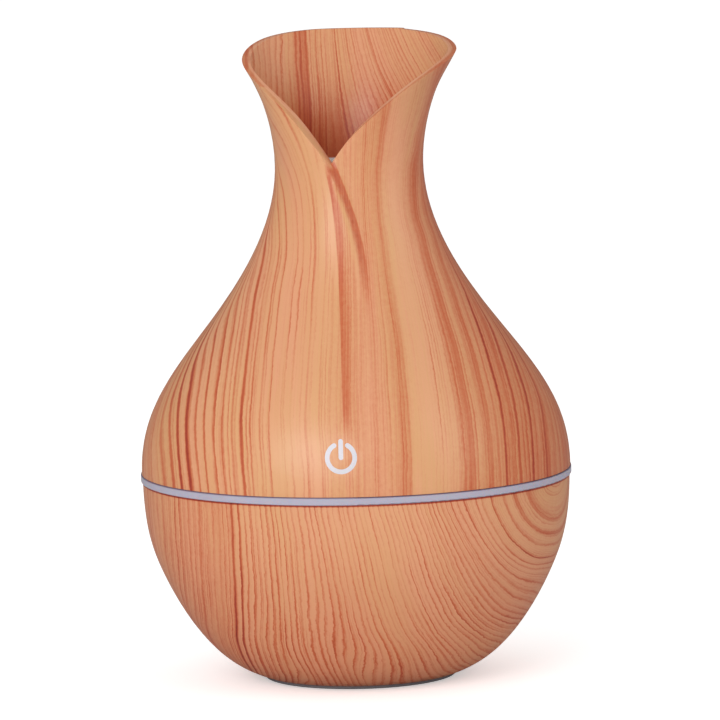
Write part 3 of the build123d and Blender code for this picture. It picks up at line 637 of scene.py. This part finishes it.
white = finish_of("white_plastic", linear(238, 237, 234), 0.38, 0.025, 0.12, 0.012, 2.5, scuffs=0.12,
                  Subsurface_Weight=0.08, Subsurface_Scale=0.001)[0]
frosted = finish_of("sleeve_plastic", linear(232, 234, 234), 0.45, 0.03, 0.3, 0.02, 3.0, scuffs=0.1,
                    Transmission_Weight=0.25)[0]
lens = finish_of("symbol_lens", linear(205, 203, 210), 0.35, 0.03, 0.5, 0.004, Subsurface_Weight=0.1,
                 Subsurface_Scale=0.001)[0]
silicone = finish_of("silicone", linear(226, 228, 226), 0.5, 0.03, 0.8, 0.01, 5.0, Transmission_Weight=0.35,
                     Subsurface_Weight=0.2, Subsurface_Scale=0.001)[0]
rubber = finish_of("foot_rubber", linear(122, 120, 124), 0.78, 0.15, 1.5, 0.03, 6.0, scuffs=0.3)[0]
steel = finish_of("steel", linear(196, 196, 198), 0.28, 0.06, 1.5, 0.008, 8.0, scuffs=0.25, Metallic=1.0)[0]
spring_steel = finish_of("spring_steel", linear(176, 174, 170), 0.22, 0.08, 2.0, 0.004, Metallic=1.0)[0]
zinc = finish_of("zinc_screw", linear(188, 190, 186), 0.32, 0.10, 1.2, 0.01, 6.0, scuffs=0.3, Metallic=1.0)[0]
ceramic = finish_of("piezo_ceramic", linear(206, 196, 172), 0.5, 0.04, 1.5, 0.01)[0]
chip = finish_of("chip_epoxy", linear(30, 30, 32), 0.62, 0.2, 3.0, 0.02, 8.0)[0]

red_wire, white_wire, black_wire = linear(190, 40, 32), linear(236, 236, 232), linear(34, 34, 36)
looks = {
    "upper_shell": upper_wood,
    "tank_bowl": bowl_wood,
    "light_ring": band_finish(),
    "touch_symbol": lens,
    "foot_pad": rubber,
    "head_base": white,
    "centre_tube": white,
    "mist_nozzle": white,
    "wick_sleeve": frosted,
    "tank_seal": silicone,
    "disc_gasket": silicone,
    "sleeve_seal": silicone,
    "circuit_board": board_finish(),
    "usb_socket": steel,
    "mist_mesh": mesh_finish(),
    "piezo_ring": ceramic,
    "controller_chip": chip,
    "inductor": winding_finish((coil_low + 0.9, coil_high - 0.9)),
    "capacitor": can_finish(can_top),
    "light_leds": led_finish("side_leds"),
    "symbol_led": led_finish("symbol_led"),
    "touch_spring": spring_steel,
    "wick_spring": spring_steel,
    "wick": cotton_finish(),
    "shell_screws": zinc,
    "disc_wires": leads_finish("disc_wires", [red_wire, black_wire], 1.0, 0.0),
    "touch_wires": leads_finish("touch_wires", [red_wire, white_wire, black_wire], 2.0, -1.0),
    "board_screws": zinc,
    "tube_screws": zinc,
}
looks["touch_board"] = looks["circuit_board"]
for name, material in looks.items():
    nodes[name].data.materials.clear()
    nodes[name].data.materials.append(material)


# ------------------------------------------------------------------ wick and its spring
def add_piece(name, points, faces, material, body, node):
    """A smooth mesh piece, given in millimetres, that stands for one CAD node and rides on its body."""
    mesh = bpy.data.meshes.new(name)
    mesh.from_pydata([Vector(p) * MM for p in points], [], faces)
    mesh.validate()
    mesh.polygons.foreach_set("use_smooth", [True] * len(mesh.polygons))
    mesh.materials.append(material)
    piece = bpy.data.objects.new(name, mesh)
    bpy.context.scene.collection.objects.link(piece)
    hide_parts(node)
    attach(piece, body)
    return piece


def joined_rings(rings_of_points):
    """Faces that join each ring of points to the next and close both ends."""
    around = len(rings_of_points[0])
    points = [p for ring in rings_of_points for p in ring]
    faces = []
    for row in range(len(rings_of_points) - 1):
        for k in range(around):
            a, b = row * around + k, row * around + (k + 1) % around
            faces.append((a, b, b + around, a + around))
    faces.append(tuple(reversed(range(around))))
    faces.append(tuple(range(len(points) - around, len(points))))
    return points, faces


def cotton_stick():
    """Rings of a cotton stick: bundled strands that twist a little, pinched and loose at the ends."""
    around, strands, step = 96, 16, 1.0
    end_heights = (0.0, 0.12, 0.3, 0.55, 0.9)
    end, pinch = end_heights[-1], 0.75
    groove_depth, fluff_depth = 0.16, 0.10
    length = wick_top - wick_bottom
    heights = list(end_heights)
    while heights[-1] + step < length - end:
        heights.append(heights[-1] + step)
    heights += [length - height for height in reversed(end_heights)]
    rows = []
    for height in heights:
        from_end = min(height, length - height)
        drop = 1.0 - min(from_end / end, 1.0)
        limit = wick_radius - pinch * drop ** 2.2
        row = []
        for k in range(around):
            turn = 2 * math.pi * k / around
            twist = turn + height * 0.012
            groove = 0.5 + 0.5 * math.cos(strands * twist + 0.8 * math.sin(height * 0.21))
            fluff = fluff_noise.noise(Vector((math.cos(turn) * 2.4, math.sin(turn) * 2.4, height * 0.45)))
            radius = limit - groove_depth * (1 - groove ** 0.6) - fluff_depth * abs(fluff)
            row.append((radius * math.cos(turn), radius * math.sin(turn), wick_bottom + height))
        rows.append(row)
    return rows


def loose_fibres(count):
    """Thin three-sided hairs that lie along the wick and lift off it a little."""
    chance = random.Random(7)
    points, faces = [], []
    for _ in range(count):
        turn = chance.uniform(0, 2 * math.pi)
        start = chance.uniform(wick_bottom + 1.0, wick_top - 9.0)
        length = chance.uniform(3.0, 7.5)
        sway = chance.uniform(-0.35, 0.35)
        lift = chance.uniform(0.08, 0.3)
        rows = []
        for share in (0.0, 0.25, 0.5, 0.75, 1.0):
            angle = turn + sway * share ** 1.5
            radius = wick_radius - 0.12 + lift * math.sin(math.pi * share * 0.8)
            width = 0.035 * (1.0 - 0.8 * share)
            centre = Vector((radius * math.cos(angle), radius * math.sin(angle), start + length * share))
            out = Vector((math.cos(angle), math.sin(angle), 0))
            side = Vector((-math.sin(angle), math.cos(angle), 0))
            rows.append([centre + (out * math.cos(a) + side * math.sin(a)) * width
                         for a in (0.0, 2 * math.pi / 3, 4 * math.pi / 3)])
        hair_points, hair_faces = joined_rings(rows)
        faces += [tuple(index + len(points) for index in face) for face in hair_faces]
        points += hair_points
    return points, faces


def coil_rings(turns, wire, around=14, steps=40):
    """Rings of round wire along a helix whose end turns lie flat and close."""
    mean = spring_radius - wire
    low, high = spring_bottom + wire, spring_top - wire
    end_turns = 0.9
    rows = []
    for k in range(int(turns * steps) + 1):
        share = k / (turns * steps)
        angle = 2 * math.pi * turns * share
        rise = min(max((share * turns - end_turns) / (turns - 2 * end_turns), 0.0), 1.0)
        closed = 2.1 * wire / (high - low)
        climb = closed * min(share * turns / end_turns, 1.0) + (1 - 2 * closed) * rise
        climb += closed * max((share * turns - turns + end_turns) / end_turns, 0.0)
        centre = Vector((mean * math.cos(angle), mean * math.sin(angle), low + (high - low) * climb))
        out = Vector((math.cos(angle), math.sin(angle), 0))
        row = []
        for j in range(around):
            a = 2 * math.pi * j / around
            row.append(centre + (out * math.cos(a) + Vector((0, 0, 1)) * math.sin(a)) * wire)
        rows.append(row)
    return rows


fibre_count = 150
points, faces = joined_rings(cotton_stick())
hair_points, hair_faces = loose_fibres(fibre_count)
faces += [tuple(index + len(points) for index in face) for face in hair_faces]
add_piece("cotton_wick", points + hair_points, faces, looks["wick"], "wick", "wick")

coil_turns, coil_wire = 5.0, 0.35
points, faces = joined_rings(coil_rings(coil_turns, coil_wire))
coil = add_piece("wick_coil", points, faces, spring_steel, "sleeve", "wick_spring")
travel = [joint for joint in frame["joints"] if joint["name"] == "wick_travel"][0]
stroke = -travel["range_m"][0] / MM
foot = travel["deforming_nodes"][0]["fixed_end_z_m"] / MM
foot * MM
(wick_bottom - foot - stroke) / (wick_bottom - foot)
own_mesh(coil)

# Rounded edges on the upper shell: its split vertices are welded first, so that the edges are found
weld_gap = 0.01 * MM
edge_width = 0.5 * MM
edge_segments = 4
sharp_angle = math.radians(55)  # edges whose faces turn by more than this are rounded
shell = nodes["upper_shell"]
weld = shell.modifiers.new("weld", "WELD")
weld.merge_threshold = weld_gap
rounding = shell.modifiers.new("rounding", "BEVEL")
rounding.limit_method = "ANGLE"
rounding.angle_limit = sharp_angle
rounding.width = edge_width
rounding.segments = edge_segments


# ------------------------------------------------------------------ floor, light and camera
floor_material, tree, shader = new_material("studio_floor")
shader.inputs["Roughness"].default_value = 0.8
path = tree.nodes.new("ShaderNodeLightPath")
seen = Field(tree, path.outputs["Is Camera Ray"])
# The floor looks near white to the camera, throws back less light than it seems to,
# and is darker still in reflections
FLOOR_SEEN = (0.95, 0.95, 0.95, 1)
FLOOR_BOUNCE = (0.86, 0.79, 0.78, 1)
FLOOR_REFLECTED = (0.34, 0.34, 0.34, 1)
floor_glow = 0.42  # light that only the camera sees
floor_size = 8
mirrored = Field(tree, path.outputs["Is Glossy Ray"])
bounce = blend_colour(tree, mirrored, FLOOR_BOUNCE, FLOOR_REFLECTED)
tree.links.new(blend_colour(tree, seen, bounce, FLOOR_SEEN), shader.inputs["Base Color"])
shader.inputs["Emission Color"].default_value = (1, 1, 1, 1)
tree.links.new((seen * floor_glow).socket, shader.inputs["Emission Strength"])
bpy.ops.mesh.primitive_plane_add(size=floor_size)
floor = bpy.context.object
floor.name = "studio_floor"
floor.data.materials.append(floor_material)

world = bpy.data.worlds.new("studio")
bpy.context.scene.world = world
world.use_nodes = True
world.node_tree.nodes["Background"].inputs["Color"].default_value = (1, 1, 1, 1)
# Reflections see a dimmer room, so that the satin print keeps its colour at grazing angles
room_light = 0.7
reflected_room_light = 0.2
glossy = Field(world.node_tree, world.node_tree.nodes.new("ShaderNodeLightPath").outputs["Is Glossy Ray"])
world_strength = world.node_tree.nodes["Background"].inputs["Strength"]
strength = -(glossy * (room_light - reflected_room_light) - room_light)
world.node_tree.links.new(strength.socket, world_strength)


def area_light(name, place, aim, size, power):
    """A soft rectangular lamp that points at a spot, in metres and watts."""
    light = bpy.data.lights.new(name, "AREA")
    light.shape = "RECTANGLE"
    light.size, light.size_y = size
    light.energy = power
    lamp = bpy.data.objects.new(name, light)
    lamp.location = place
    lamp.rotation_mode = "QUATERNION"
    lamp.rotation_quaternion = (Vector(aim) - Vector(place)).to_track_quat("-Z", "Y")
    bpy.context.scene.collection.objects.link(lamp)


area_light("key", (-0.45, -1.0, 0.5), (0, 0, 0.05), (0.8, 0.6), 6.7)
area_light("fill", (0.9, -0.5, 0.5), (0, 0, 0.07), (0.6, 0.8), 1.5)

target = Vector((0, 0, 0.070))
elevation = math.radians(6.81)
distance = 1.5
lean = math.radians(-1.33)
camera_data = bpy.data.cameras.new("camera")
camera_data.lens = 339.0
camera_data.sensor_width = 36.0
camera_data.shift_x = 0.0089
camera_data.shift_y = 0.0014
camera = bpy.data.objects.new("camera", camera_data)
bpy.context.scene.collection.objects.link(camera)
camera.location = target + Vector((0, -math.cos(elevation), math.sin(elevation))) * distance
camera.rotation_mode = "QUATERNION"
roll = Quaternion((0, 0, 1), lean)
camera.rotation_quaternion = (target - camera.location).to_track_quat("-Z", "Y") @ roll
bpy.context.scene.camera = camera
bpy.context.scene.view_settings.view_transform = "Standard"
